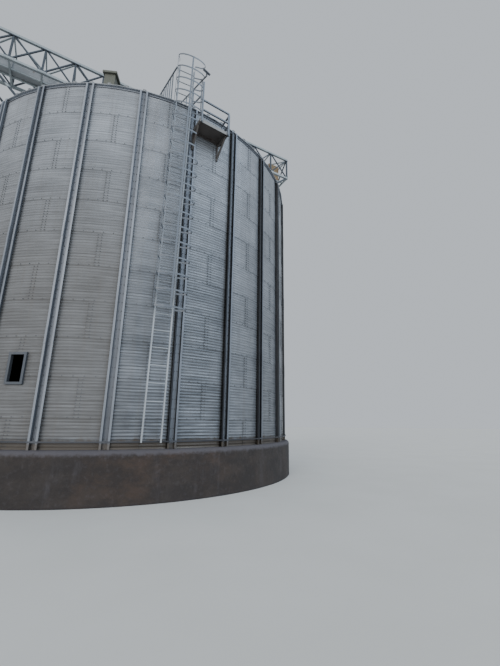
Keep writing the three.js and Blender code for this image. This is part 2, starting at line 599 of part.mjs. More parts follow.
function bridge() {
  const stations = Array.from({ length: BRIDGE_BAYS + 1 }, (_, i) => BRIDGE_END - i * BRIDGE_BAY);
  const start = stations[BRIDGE_BAYS];
  const h = CHORD / 2;

  for (const [name, offset] of [['bridge_front_side', -BRIDGE_OFFSET], ['bridge_back_side', BRIDGE_OFFSET]]) {
    const pieces = [BRIDGE_LOW, BRIDGE_HIGH].map((z) => bar(
      across(start - h, offset, z), across(BRIDGE_END + h, offset, z), CHORD, CHORD));
    stations.forEach((along, i) => {
      pieces.push(bar(across(along, offset, BRIDGE_LOW), across(along, offset, BRIDGE_HIGH), POST, POST));
      if (i === 0) return;
      const next = stations[i - 1];
      pieces.push(bar(across(along, offset, BRIDGE_LOW), across(next, offset, BRIDGE_HIGH), BRACE, BRACE));
      pieces.push(bar(across(along, offset, BRIDGE_HIGH), across(next, offset, BRIDGE_LOW), BRACE, BRACE));
    });
    add(name, joined(pieces), 'bridge', BRIDGE_BEARING);
  }

  const reach = BRIDGE_OFFSET - h - GAP;
  const beams = stations.map((along) => bar(
    across(along, -reach, BRIDGE_LOW), across(along, reach, BRIDGE_LOW), POST, POST));
  const stringers = [-STRINGER_OFFSET, STRINGER_OFFSET].map((offset) => bar(
    across(start - h, offset, BRIDGE_LOW + STRINGER / 2),
    across(BRIDGE_END + h, offset, BRIDGE_LOW + STRINGER / 2), STRINGER, STRINGER));
  add('bridge_floor', joined([...beams, ...stringers]), 'bridge', BRIDGE_BEARING);

  const ties = stations.map((along) => bar(
    across(along, -reach, BRIDGE_HIGH), across(along, reach, BRIDGE_HIGH), BRACE, BRACE));
  const zigzag = stations.slice(1).map((along, i) => {
    const sign = i % 2 ? 1 : -1;
    return bar(across(along, -sign * (reach - 40), BRIDGE_HIGH),
      across(stations[i], sign * (reach - 40), BRIDGE_HIGH), BRACE, BRACE);
  });
  add('bridge_top_bracing', joined([...ties, ...zigzag]), 'bridge', BRIDGE_BEARING);

  const [low, high] = [BRIDGE_LOW + POST / 2 + GAP, BRIDGE_HIGH - BRACE / 2 - GAP];
  const inside = new THREE.BoxGeometry(2 * reach, BRACE, high - low)
    .translate(0, -BRIDGE_END, (low + high) / 2);
  const cross = joined([
    bar(across(BRIDGE_END, -reach, low - 20), across(BRIDGE_END, reach, high + 20), BRACE, BRACE),
    bar(across(BRIDGE_END, reach, low - 20), across(BRIDGE_END, -reach, high + 20), BRACE, BRACE),
  ]).intersect(solidOf(inside));
  add('bridge_end_brace', cross, 'bridge', BRIDGE_BEARING);

  const floor = BRIDGE_LOW + STRINGER + GAP;
  const roofOfCasing = floor + CASING_HEIGHT;
  const half = CASING_WIDTH / 2;
  const casing = joined([
    block(-half, half, start - h, CASING_END, floor, roofOfCasing),
    block(-half - CASING_LIP, half + CASING_LIP, start - h, CASING_END, roofOfCasing + GAP - CASING_LIP,
      roofOfCasing + CASING_LID - CASING_LIP),
  ]);
  add('conveyor_casing', casing, 'casing', BRIDGE_BEARING);

  const [near, far] = [CASING_END + GAP, CASING_END + TAIL_LENGTH];
  add('conveyor_tail', joined([
    block(-half - CASING_LIP, half + CASING_LIP, near, far, floor, TAIL_TOP - TAIL_HEAD),
    block(-half, half, near + CASING_LIP, far + CASING_LIP, TAIL_TOP - TAIL_HEAD - CASING_LIP, TAIL_TOP),
  ]), 'rusty', BRIDGE_BEARING);
}

// Trestles that carry the bridge on the roof, with a knee brace out to each end
function trestles() {
  const top = BRIDGE_LOW - CHORD / 2 - GAP;
  const beyond = 4 * BRIDGE_END;
  const above = solidOf(new THREE.BoxGeometry(beyond, beyond, beyond).translate(0, 0, top + beyond / 2));
  const ends = { right: BRIDGE_END, left: BRIDGE_END - BRIDGE_BAYS * BRIDGE_BAY };
  for (const [side, end] of Object.entries(ends)) {
    const sign = Math.sign(end);
    const at = sign * TRESTLE_ALONG;
    const foot = roofTop(Math.hypot(TRESTLE_ALONG, BRIDGE_OFFSET)) - TRESTLE_SINK;
    const [tieLow, tieHigh] = [foot + TIE_LOW, top - TIE_HIGH];
    const pieces = [];
    for (const offset of [-BRIDGE_OFFSET, BRIDGE_OFFSET]) {
      pieces.push(bar(across(at, offset, foot), across(at, offset, top + POST), TRESTLE_POST, TRESTLE_POST));
      pieces.push(bar(across(at, offset, foot + KNEE_FOOT), across(end - sign * TRESTLE_TIE, offset,
        top + BRACE / 2), TRESTLE_KNEE, TRESTLE_KNEE));
    }
    for (const z of [tieLow, tieHigh]) {
      pieces.push(bar(across(at, -BRIDGE_OFFSET, z), across(at, BRIDGE_OFFSET, z), TRESTLE_TIE, TRESTLE_TIE));
    }
    pieces.push(bar(across(at, -BRIDGE_OFFSET, tieLow), across(at, BRIDGE_OFFSET, tieHigh),
      TRESTLE_BRACE, TRESTLE_BRACE));
    const body = joined(pieces).subtract(above).subtract(unturned(roofBody, BRIDGE_BEARING));
    add(`trestle_${side}`, body, 'bridge', BRIDGE_BEARING);
  }
}

plinth();
wall();
stiffenerFrames();
roof();
roofLadder();
ladder();
cage();
platform();
hatch();
bridge();
trestles();

export default silo;
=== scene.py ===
"""Corrugated steel grain silo with a conveyor bridge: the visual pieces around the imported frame."""

import math

import bmesh
import bpy
from mathutils import Matrix, Vector, noise


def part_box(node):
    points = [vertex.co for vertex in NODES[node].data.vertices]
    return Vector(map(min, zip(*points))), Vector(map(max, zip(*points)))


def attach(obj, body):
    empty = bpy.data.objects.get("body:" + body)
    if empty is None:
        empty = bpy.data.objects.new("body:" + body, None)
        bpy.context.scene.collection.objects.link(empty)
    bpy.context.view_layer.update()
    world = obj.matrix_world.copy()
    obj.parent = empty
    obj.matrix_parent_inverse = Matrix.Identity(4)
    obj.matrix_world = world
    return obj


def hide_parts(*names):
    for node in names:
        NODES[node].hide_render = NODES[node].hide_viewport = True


bl_info = {
    "name": "Corrugated Grain Silo",
    "version": (1, 0, 0),
    "blender": (4, 5, 0),
    "location": "3D View > Sidebar > Silo",
    "description": "Sheets, bolts, ribs and finishes of a corrugated steel grain silo",
    "category": "Object",
}

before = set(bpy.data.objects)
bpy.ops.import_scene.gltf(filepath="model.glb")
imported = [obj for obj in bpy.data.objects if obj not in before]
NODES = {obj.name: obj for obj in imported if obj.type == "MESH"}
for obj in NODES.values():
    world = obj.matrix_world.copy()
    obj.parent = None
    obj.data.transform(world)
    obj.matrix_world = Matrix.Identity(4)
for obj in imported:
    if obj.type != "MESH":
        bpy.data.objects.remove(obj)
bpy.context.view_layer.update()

# Sizes shared with the solids, in metres
SHEETS = 13
BAYS = 2 * SHEETS
SHEET_ANGLE = 2 * math.pi / SHEETS
BAY_ANGLE = SHEET_ANGLE / 2
WALL_RADIUS = 5.9402
BAY = WALL_RADIUS * BAY_ANGLE
FIRST_WAVE = 3
TIER = 0.9144
TIERS = 11
WAVES = 12
PITCH = TIER / WAVES
SHEET_ORIGIN = 0.9016
PLINTH_TOP = 1.13
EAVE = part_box("wall_segment_01")[1].z
WEB_FACE = 5.9555
LIP_FACE = 6.0355
CHANNEL_HALF = 0.0675
LIP_WIDTH = 0.042
ROOF_EDGE = 6.012
ROOF_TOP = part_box("stiffener_frame_01")[1].z + 0.0203
ROOF_SLOPE = math.tan(math.radians(30))
PEAK = 0.45
HATCH_BEARING = -6.55
HATCH_HALF = 0.164
HATCH_RIM = 0.048
DECK_BEARING = 32.1
DECK_OUTER = 6.4985
BRIDGE_BEARING = 118.2
BRIDGE_END = 7.15
BRIDGE_BAY = 1.075
BRIDGE_BAYS = 13
BRIDGE_SIDE = 0.7104
CHORD_LOW = 15.13
CHORD_HIGH = 16.33
CHORD_HALF = 0.035
CASING_END = 6.25
CASING_SIDE = 0.1804
CASING_FLOOR = 15.1926
CASING_LID = 15.6
CASING_JOINTS = 6

# Stretches of the wall by their looks, in metres along it from the front
DUST_MIDDLE = -5.0
DUST_REACH = 5.0 + BAY
RIGHT_STRETCH_START = 1.7
RIGHT_STRETCH_FULL = 2.6
LADDER_BAY = 1.5 * BAY
LIGHTER_SHEETS = 3.0 * BAY
# How strongly painted shade darkens the stiffeners on the right-hand stretch, of one
SHADE_ON_RIGHT_STRETCH = 0.92

# No bolt stands in this ellipsoid round the hatch, in metres each way
HATCH_CLEAR = (0.28, 1.0, 0.42)
# Tiers at whose foot one length of stiffener ends
SPLICE_TIERS = (3, 6, 9)
# A range that eases in and out
SMOOTH = {"interpolation_type": "SMOOTHSTEP"}

# Each sun's energy, angle, tint, and tilt and turn, with angles in degrees
SUNS = {
    "key": (1.8, 50, (1.0, 0.98, 0.95), (78, -16)),
    "fill": (1.5, 50, (0.66, 0.82, 1.0), (50, 58)),
}
SKY_STRENGTH = 0.8
FLOOR_REACH = 140.0
# Camera as fitted to the photo: place in metres, angles in degrees, lens in millimetres
EYE = (4.5024, -13.887, 1.7426)
HEADING, PITCH_UP, ROLL = 2.2537, 14.0749, 0.5229
LENS = 18.658
SHIFT = (-0.01433, 0.00462)


def linear(code):
    """An sRGB hex value as the linear colour that Blender's sockets take"""
    parts = [int(code[i:i + 2], 16) / 255 for i in (0, 2, 4)]
    return tuple(c / 12.92 if c <= 0.04045 else ((c + 0.055) / 1.055) ** 2.4 for c in parts) + (1.0,)


def add(tree, kind, *values, out=0, **named):
    """Adds a node and returns one of its outputs: a kind without its family is a shader node and may be
    followed by its operation, values and links fill the inputs in order, capitalised names fill the
    inputs of that name, a list fills a joining input, and other names are the node's settings"""
    kind, *operation = kind.split()
    family = "" if kind.startswith(("Geometry", "Function", "Node")) else "ShaderNode"
    made = tree.nodes.new(family + kind)
    if operation:
        made.operation = operation[0]
    inputs = dict(enumerate(values))
    for name, value in named.items():
        if name[0].isupper():
            inputs[name.replace("_", " ")] = value
        else:
            setattr(made, name, value)
    for key, value in inputs.items():
        for part in value if isinstance(value, list) else [value]:
            if isinstance(part, bpy.types.NodeSocket):
                tree.links.new(part, made.inputs[key])
            else:
                made.inputs[key].default_value = part
    return made.outputs[out] if made.outputs else None


def polar(radius, bearing, z):
    """A point by its distance from the axis, its bearing in radians from -Y toward +X, and its height"""
    return Vector((radius * math.sin(bearing), -radius * math.cos(bearing), z))


def turned_by(bearing):
    """The turn that carries the front to a bearing in degrees"""
    return Matrix.Rotation(math.radians(bearing), 4, "Z")


def roof_height(radius):
    """Height of the roof's surface at a distance from the axis"""
    return ROOF_TOP + (ROOF_EDGE - radius) * ROOF_SLOPE


# Materials

def new_material(name):
    """The empty node tree of a new material"""
    material = bpy.data.materials.new(name)
    material.use_nodes = True
    material.node_tree.nodes.clear()
    return material.node_tree


def finish_material(tree, color, roughness, relief, depth, metallic):
    """The last nodes of every material: bump, shader and output"""
    bump = add(tree, "Bump", Distance=depth, Height=relief)
    shader = add(tree, "BsdfPrincipled", Base_Color=color, Roughness=roughness, Normal=bump,
                 Metallic=metallic)
    add(tree, "OutputMaterial", shader)


def coat(tree, color, over, most, *ranges, how="MIX"):
    """Lays a second colour over a first, at most by a factor, where every value is in its range: a range
    is a value, where it starts to count and where it counts in full"""
    for place in ranges:
        most = add(tree, "MapRange", *place, 0.0, most, **SMOOTH)
    return add(tree, "Mix", most, A=color, B=over, out=2, data_type="RGBA", blend_type=how)


def wall_vector(tree, across=1.0, upward=1.0):
    """Object coordinates unrolled round the wall: along the sheets, zero, and up, each times its scale"""
    place = add(tree, "TexCoord", out="Object")
    x, y, z = add(tree, "SeparateXYZ", place).node.outputs
    front = add(tree, "Math MULTIPLY", y, -1.0)
    angle = add(tree, "Math ARCTAN2", x, front)
    along = add(tree, "Math MULTIPLY", angle, WALL_RADIUS * across)
    height = add(tree, "Math MULTIPLY", z, upward)
    return add(tree, "CombineXYZ", along, 0.0, height)


def wall_place(tree):
    """Metres along the wall from the front, positive to the right, and metres above the ground"""
    along, _, height = add(tree, "SeparateXYZ", wall_vector(tree)).node.outputs
    return along, height


def from_stiffener(tree):
    """Distance in metres, along the wall, from the nearest stiffener's middle"""
    return add(tree, "Math PINGPONG", wall_place(tree)[0], BAY / 2)


def from_axis(tree):
    """Distance in metres from the silo's axis"""
    place = add(tree, "TexCoord", out="Object")
    level = add(tree, "VectorMath MULTIPLY", place, (1.0, 1.0, 0.0))
    return add(tree, "VectorMath LENGTH", level, out="Value")


def seam_lines(tree, sizes):
    """How near a point is to a sheet's lapping side or lower edge: a thin dark line with grime round it"""
    along, height = wall_place(tree)
    tier = add(tree, "Math SUBTRACT", height, SHEET_ORIGIN - sizes.lower_lap)
    tier = add(tree, "Math DIVIDE", tier, TIER)
    whole = add(tree, "Math FLOOR", tier)
    along = add(tree, "Math MULTIPLY_ADD", whole, BAY, along)
    along = add(tree, "Math SUBTRACT", along, 1.5 * BAY)
    side = add(tree, "Math PINGPONG", along, BAY)
    rise = add(tree, "Math PINGPONG", tier, 0.5)
    rise = add(tree, "Math MULTIPLY", rise, TIER)
    most = 0.0
    # The side's dark line, the grime round it, and the line at the lower edge
    for value, start, full, amount in ((side, 0.014, 0.003, 0.3), (side, 0.12, 0.02, 0.1),
                                       (rise, 0.016, 0.004, 0.25)):
        edge = add(tree, "MapRange", value, start, full, 0.0, amount, **SMOOTH)
        most = add(tree, "Math MAXIMUM", most, edge)
    return most


def zinc_film(tree, dull, bright, stain, streaks, lift):
    """Weathered zinc: its colour and the broad clouds that also drive its roughness"""
    clouds = add(tree, "TexNoise", wall_vector(tree), Scale=0.9, Detail=5.0, Roughness=0.6)
    runs = add(tree, "TexNoise", wall_vector(tree, 9.0, 0.35), Scale=1.0, Detail=6.0, Roughness=0.62)
    spangle = add(tree, "TexVoronoi", add(tree, "TexCoord", out="Object"), Scale=60.0)
    base = add(tree, "MapRange", clouds, 0.3, 0.7, -0.16, 0.16)
    fleck = add(tree, "MapRange", spangle, 0.0, 0.6, -0.03, 0.05)
    level = add(tree, "Math ADD", lift, base)
    level = add(tree, "Math ADD", level, fleck, use_clamp=True)
    return coat(tree, coat(tree, dull, bright, level), stain, streaks, (runs, 0.5, 0.78)), clouds


def finish_zinc(tree, color, roughness, metallic):
    """Ends a zinc material with a fine grain"""
    place = add(tree, "TexCoord", out="Object")
    grain = add(tree, "TexNoise", place, Scale=220.0, Detail=3.0)
    finish_material(tree, color, roughness, grain, 0.0008, metallic)


def galvanised(name, dull, bright, stain, metallic=0.5, lighter_below=0.0):
    """Hot-dipped zinc on steel left to weather: a soft grey sheen in broad clouds, run-down streaks of dust
    and a fine spangle; it is lighter below a given height"""
    tree = new_material(name)
    lift = 0.5
    if lighter_below:
        height = wall_place(tree)[1]
        lift = add(tree, "MapRange", height, lighter_below - 0.2, lighter_below + 0.4, 0.75, 0.33)
    color, clouds = zinc_film(tree, dull, bright, stain, 0.4, lift)
    roughness = add(tree, "MapRange", clouds, 0.3, 0.7, 0.4, 0.6)
    finish_zinc(tree, color, roughness, metallic)


def wall_zinc(name, colours, sizes):
    """The wall's corrugated sheet: each sheet has its own tone, grain dust with painted shade dulls the
    lower tiers left of the front, painted hazy light lightens the wall toward the top, the sheets far to the
    right and the ladder's bay are lighter, a strip beside each stiffener is darkened as the painted shadow
    of its lips with some grime, and splashed mud keeps to the strip above the plinth"""
    tree = new_material(name)
    along, height = wall_place(tree)
    tone = add(tree, "Attribute", attribute_name="tone", out="Fac")
    ladder, dust = (add(tree, "Math ABSOLUTE", add(tree, "Math SUBTRACT", along, middle))
                    for middle in (LADDER_BAY, DUST_MIDDLE))
    dusty = add(tree, "MapRange", dust, DUST_REACH + 0.06, DUST_REACH - 0.06, **SMOOTH)
    lift = tone
    # Painted hazy light makes the wall lighter toward the top; the sheets far to the right and the ladder's
    # bay are lighter too
    for value, start, full, more in ((height, 2.0, EAVE, 0.4),
                                     (along, LIGHTER_SHEETS - 0.05, LIGHTER_SHEETS, 0.16),
                                     (ladder, BAY / 2 + 0.03, BAY / 2 - 0.03, 0.1)):
        brighter = add(tree, "MapRange", value, start, full, 0.0, more, **SMOOTH)
        lift = add(tree, "Math ADD", lift, brighter)
    # More painted hazy light high up on the dusty stretch
    high = add(tree, "MapRange", height, 7.5, 9.5, 0.0, 0.07, **SMOOTH)
    lift = add(tree, "Math MULTIPLY_ADD", dusty, high, lift)
    stain = colours.zinc_stain_and_shade
    color, clouds = zinc_film(tree, colours.zinc_dull, colours.zinc_bright, stain, 0.35, lift)
    smear = add(tree, "TexNoise", wall_vector(tree, 3.0, 3.0), Scale=2.0, Detail=6.0)
    mud_edge = add(tree, "Math MULTIPLY_ADD", smear, -0.3, height)
    color = coat(tree, color, colours.mud, 0.9, (mud_edge, PLINTH_TOP + 0.1, PLINTH_TOP))
    color = coat(tree, color, stain, seam_lines(tree, sizes), how="MULTIPLY")
    # A strip of wall beside each stiffener is darkened as the painted shadow of its lips, with some grime,
    # more on the right-hand stretch
    shade_and_grime = add(tree, "MapRange", along, RIGHT_STRETCH_START, RIGHT_STRETCH_FULL, 0.3, 0.9, **SMOOTH)
    color = coat(tree, color, stain, shade_and_grime, (from_stiffener(tree), 0.135, 0.1), how="MULTIPLY")
    # A warm matt film low on the stretch left of the front: grain dust and painted shade
    film = add(tree, "MapRange", height, 5.5, 9.5, 0.45, 0.0)
    film = add(tree, "Math MULTIPLY", dusty, film)
    color = coat(tree, color, colours.grain_dust_and_shade, film, (height, PLINTH_TOP + 0.15, PLINTH_TOP + 0.3))
    gloss = add(tree, "Math MULTIPLY_ADD", tone, -0.6, 0.56)
    cloudy = add(tree, "MapRange", clouds, 0.3, 0.7, -0.06, 0.06)
    roughness = add(tree, "Math ADD", gloss, cloudy)
    roughness = add(tree, "Math MULTIPLY_ADD", dusty, 0.35, roughness)
    finish_zinc(tree, color, roughness, add(tree, "MapRange", dusty, 0.0, 1.0, 0.5, 0.1))


def stiffener_zinc(name, dull, bright, grime_and_shade, mud):
    """Heavy galvanised channel: worn lips; painted hazy light lightens the left-hand stiffeners toward the
    top; painted shade with some grime lies in the corners of the channel, behind the lips and over the web;
    the left lips on the right-hand stretch are painted near black as shade; a dark ring bar and eave angle,
    with painted light along the top against the roof's shadow; and muddy feet"""
    tree = new_material(name)
    along, height = wall_place(tree)
    left_stretch = (along, RIGHT_STRETCH_FULL, RIGHT_STRETCH_START)
    right_stretch = (along, RIGHT_STRETCH_START, RIGHT_STRETCH_FULL)
    below = (height, EAVE - 0.03, EAVE - 0.06)
    # Painted hazy light: the stiffeners left of the right-hand stretch are lighter toward the top
    hazy_light = add(tree, "MapRange", height, 3.0, 8.5, 0.0, 0.55, **SMOOTH)
    hazy_light = add(tree, "MapRange", *left_stretch, 0.0, hazy_light, **SMOOTH)
    lift = add(tree, "Math ADD", hazy_light, 0.6)
    color, clouds = zinc_film(tree, dull, bright, grime_and_shade, 0.5, lift)
    reach = from_axis(tree)
    beside = from_stiffener(tree)
    offset = add(tree, "Math WRAP", along, -BAY / 2, BAY / 2)

    # Painted shade, with some grime, in the channel's corners and behind its lips: stronger in the
    # right-hand corner, strongest on the right-hand stretch
    shade_and_grime = add(tree, "MapRange", offset, -0.01, 0.01, 0.1, 0.6)
    shade_and_grime = coat(tree, (SHADE_ON_RIGHT_STRETCH, SHADE_ON_RIGHT_STRETCH, SHADE_ON_RIGHT_STRETCH, 1.0), shade_and_grime, 1.0, left_stretch)
    corner = (beside, 0.046, 0.062)
    behind = (reach, LIP_FACE - 0.004, LIP_FACE - 0.014)
    color = coat(tree, color, grime_and_shade, shade_and_grime, corner, behind, below, how="MULTIPLY")
    # The left lips of the stiffeners on the right-hand stretch are painted near black as shade
    lips = (reach, LIP_FACE - 0.014, LIP_FACE - 0.004)
    left = (offset, -0.064, -0.07)
    color = coat(tree, color, grime_and_shade, SHADE_ON_RIGHT_STRETCH, lips, left, below, right_stretch, how="MULTIPLY")
    shade = add(tree, "MapRange", along, RIGHT_STRETCH_START, RIGHT_STRETCH_FULL, 0.4, 0.15, **SMOOTH)
    color = coat(tree, color, grime_and_shade, shade, (reach, LIP_FACE - 0.06, LIP_FACE - 0.07), below)
    color = coat(tree, color, grime_and_shade, 0.8, (reach, LIP_FACE + 0.006, LIP_FACE + 0.01), below)
    color = coat(tree, color, grime_and_shade, 0.8, (beside, 0.11, 0.115), below)
    # Painted light: the tops of the stiffeners and the eave angle are lightened against the roof's shadow
    color = coat(tree, color, bright, 0.5, (height, EAVE - 0.06, EAVE - 0.03))
    color = coat(tree, color, mud, 0.75, (height, PLINTH_TOP + 0.16, PLINTH_TOP + 0.1))
    finish_zinc(tree, color, add(tree, "MapRange", clouds, 0.3, 0.7, 0.4, 0.55), 0.5)


def painted(name, paint, worn, rust, wear, rusty=0.15, edge=None, bracing=None):
    """Shop paint on rolled steel after years outdoors: chalky, thin in places, with rust breaking through in
    spots that bleed downward; an edge colour is painted light along the platform's front edge, and a bracing
    colour for the thin bars between the bridge's chords"""
    tree = new_material(name)
    place = add(tree, "TexCoord", out="Object")
    tall = add(tree, "Mapping", place, Scale=(1.0, 1.0, 0.3))
    chalk = add(tree, "TexNoise", place, Scale=2.2, Detail=6.0, Roughness=0.65)
    spots = add(tree, "TexNoise", tall, Scale=7.0, Detail=8.0, Roughness=0.7)
    grain = add(tree, "TexNoise", place, Scale=140.0, Detail=4.0)
    color = coat(tree, paint, worn, wear, (chalk, 0.35, 0.7))
    color = coat(tree, color, rust, 0.9, (spots, 0.66 - rusty * 0.3, 0.74 - rusty * 0.2))
    # Painted light along the platform's front edge
    if edge:
        turned = add(tree, "VectorRotate", place, Angle=-math.radians(DECK_BEARING),
                     rotation_type="Z_AXIS")
        front = add(tree, "SeparateXYZ", turned, out=1)
        color = coat(tree, color, edge, 0.85, (front, 0.001 - DECK_OUTER, -0.001 - DECK_OUTER))
    if bracing:
        height = add(tree, "SeparateXYZ", place, out=2)
        height = add(tree, "Math SUBTRACT", height, CHORD_LOW)
        away = add(tree, "Math PINGPONG", height, (CHORD_HIGH - CHORD_LOW) / 2)
        color = coat(tree, color, bracing, 0.95, (away, 0.045, 0.06))
    roughness = add(tree, "MapRange", chalk, 0.3, 0.7, 0.5, 0.75)
    finish_material(tree, color, roughness, grain, 0.0006, 0.1)


def render_coat(name, body, red, damp, pale):
    """Cement render trowelled over concrete by hand: brown-grey and mottled, damp and reddish in
    patches, with faint run-down marks and a paler, rougher shoulder"""
    tree = new_material(name)
    place = add(tree, "TexCoord", out="Object")
    height = add(tree, "SeparateXYZ", place, out=2)
    patches = add(tree, "TexNoise", wall_vector(tree, 1.0, 1.4), Scale=1.5, Detail=8.0, Roughness=0.7)
    warm = add(tree, "TexNoise", wall_vector(tree, 1.0, 0.5), Scale=0.8, Detail=4.0)
    runs = add(tree, "TexNoise", wall_vector(tree, 3.0, 0.7), Scale=1.1, Detail=7.0, Roughness=0.7)
    lumps = add(tree, "TexNoise", place, Scale=11.0, Detail=9.0, Roughness=0.66)
    grit = add(tree, "TexNoise", place, Scale=90.0, Detail=5.0)
    color = coat(tree, body, red, 0.7, (warm, 0.42, 0.62))
    color = coat(tree, color, damp, 0.8, (patches, 0.62, 0.4))
    color = coat(tree, color, pale, 0.22, (lumps, 0.5, 0.75))
    color = coat(tree, color, pale, 0.25, (runs, 0.52, 0.75))
    wavy = add(tree, "Math MULTIPLY_ADD", lumps, 0.2, height)
    color = coat(tree, color, pale, 0.7, (wavy, PLINTH_TOP - 0.05, PLINTH_TOP + 0.05))
    color = coat(tree, color, pale, 0.5, (wavy, 0.16, 0.05))
    relief = add(tree, "Math MULTIPLY_ADD", grit, 0.25, lumps)
    finish_material(tree, color, 0.93, relief, 0.02, 0.0)


def lamp_housing(name, shell, dust):
    """Die-cast aluminium under dark powder coat, dusty on top"""
    tree = new_material(name)
    place = add(tree, "TexCoord", out="Object")
    film = add(tree, "TexNoise", place, Scale=14.0, Detail=5.0)
    grain = add(tree, "TexNoise", place, Scale=400.0, Detail=2.0)
    finish_material(tree, coat(tree, shell, dust, 0.5, (film, 0.45, 0.75)), 0.55, grain, 0.0004, 0.2)


def pale_floor(name, color, worn):
    """A plain pale studio floor with a very faint mottling"""
    tree = new_material(name)
    place = add(tree, "TexCoord", out="Object")
    mottle = add(tree, "TexNoise", place, Scale=0.6, Detail=4.0)
    finish_material(tree, coat(tree, color, worn, 0.3, (mottle, 0.3, 0.7)), 0.9, mottle, 0.002, 0.0)


# Meshes

def piece(name, mesh, material):
    """Links a finished mesh as a piece that rides on the silo"""
    made = bpy.data.objects.new(name, mesh)
    bpy.context.scene.collection.objects.link(made)
    if not mesh.materials:
        mesh.materials.append(material)
    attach(made, "root")
    return made


def dress(finish, *names):
    """Gives carried-over nodes a finish, and returns it"""
    material = bpy.data.materials[finish]
    for name in names:
        NODES[name].data.materials.clear()
        NODES[name].data.materials.append(material)
    return material


def evaluated_mesh(made):
    """A plain mesh of an object with its modifiers applied"""
    graph = bpy.context.evaluated_depsgraph_get()
    return bpy.data.meshes.new_from_object(made.evaluated_get(graph), preserve_all_data_layers=True,
                                           depsgraph=graph)


def grown(tree, sizes=None):
    """The plain mesh that a geometry tree makes from the given sizes"""
    holder = bpy.data.objects.new(tree.name, bpy.data.meshes.new(tree.name))
    bpy.context.scene.collection.objects.link(holder)
    modifier = holder.modifiers.new("shape", "NODES")
    modifier.node_group = tree
    for item in tree.interface.items_tree:
        if item.item_type == "SOCKET" and item.in_out == "INPUT" and item.name in (sizes or {}):
            modifier[item.identifier] = sizes[item.name]
    mesh = evaluated_mesh(holder)
    holder.modifiers.clear()
    empty = holder.data
    bpy.data.objects.remove(holder)
    bpy.data.meshes.remove(empty)
    return mesh


def new_tree(name, inputs):
    """A geometry tree with named size inputs; returns it with the outputs of its input node"""
    tree = bpy.data.node_groups.new(name, "GeometryNodeTree")
    for label, value in inputs.items():
        kind = "NodeSocketInt" if isinstance(value, int) else "NodeSocketFloat"
        tree.interface.new_socket(name=label, in_out="INPUT", socket_type=kind).default_value = value
    tree.interface.new_socket(name="Geometry", in_out="OUTPUT", socket_type="NodeSocketGeometry")
    return tree, add(tree, "NodeGroupInput").node.outputs


def close_tree(tree, geometry, material):
    """Ends a tree with real geometry and its material"""
    real = add(tree, "GeometryNodeRealizeInstances", geometry)
    dressed = add(tree, "GeometryNodeSetMaterial", real, Material=material)
    add(tree, "NodeGroupOutput", dressed)
    return tree


def on_circle(tree, turn, radius, height):
    """The direction outward at a turn from the front, and the spot there at a radius and a height"""
    sine = add(tree, "Math SINE", turn)
    cosine = add(tree, "Math COSINE", turn)
    back = add(tree, "Math MULTIPLY", cosine, -1.0)
    outward = add(tree, "CombineXYZ", sine, back)
    flat = add(tree, "VectorMath SCALE", outward, Scale=radius)
    rise = add(tree, "CombineXYZ", 0.0, 0.0, height)
    return outward, add(tree, "VectorMath ADD", flat, rise)


def sheet_group(sizes):
    """One corrugated sheet as a thin closed shell, laid like a shingle: its left and lower edges
    stand proud of the sheets that they lap"""
    tree, given = new_tree("corrugated sheet", {
        "Rows": 72, "Bottom": 0.0, "Height": TIER, "Start": 0.0, "Tone": 0.5, "Depth": sizes.wave_depth,
        "Thickness": sizes.sheet_plate, "Lift": sizes.lap_lift})
    rows = add(tree, "Math ADD", given["Rows"], 1.0)
    grid = add(tree, "GeometryNodeMeshGrid", 1.0, 1.0, sizes.sheet_columns + 1, rows)
    x, y, _ = add(tree, "SeparateXYZ", add(tree, "GeometryNodeInputPosition")).node.outputs
    u = add(tree, "Math ADD", x, 0.5)
    v = add(tree, "Math ADD", y, 0.5)
    span = SHEET_ANGLE + sizes.side_lap / WALL_RADIUS
    turn = add(tree, "Math MULTIPLY_ADD", u, span, given["Start"])
    z = add(tree, "Math MULTIPLY_ADD", v, given["Height"], given["Bottom"])
    wave = add(tree, "Math SUBTRACT", z, SHEET_ORIGIN)
    wave = add(tree, "Math MULTIPLY", wave, 2 * math.pi / PITCH)
    wave = add(tree, "Math COSINE", wave)
    half = add(tree, "Math MULTIPLY", given["Depth"], 0.5)
    radius = add(tree, "Math MULTIPLY_ADD", wave, half, sizes.sheet_radius)
    proud = add(tree, "Math ADD", u, v)
    proud = add(tree, "Math SUBTRACT", 2.0, proud)
    radius = add(tree, "Math MULTIPLY_ADD", proud, given["Lift"], radius)
    outward, spot = on_circle(tree, turn, radius, z)
    tilt = add(tree, "GeometryNodeStoreNamedAttribute", grid, Name="outward", Value=outward,
               data_type="FLOAT_VECTOR")
    skin = add(tree, "GeometryNodeSetPosition", tilt, Position=spot)
    away = add(tree, "GeometryNodeInputNamedAttribute", "outward", data_type="FLOAT_VECTOR")
    rise = add(tree, "VectorMath SCALE", away, Scale=given["Thickness"])
    thick = add(tree, "GeometryNodeExtrudeMesh", skin, Offset=rise, Individual=False).node.outputs
    outer = add(tree, "GeometryNodeSetShadeSmooth", thick[0], Selection=thick["Side"], Shade_Smooth=False)
    inner = add(tree, "GeometryNodeFlipFaces", skin)
    both = add(tree, "GeometryNodeJoinGeometry", [outer, inner])
    shell = add(tree, "GeometryNodeMergeByDistance", both, Distance=0.00005)
    shell = add(tree, "GeometryNodeRemoveAttribute", shell, Name="outward")
    toned = add(tree, "GeometryNodeStoreNamedAttribute", shell, Name="tone", Value=given["Tone"],
                data_type="FLOAT")
    add(tree, "NodeGroupOutput", toned)
    return tree


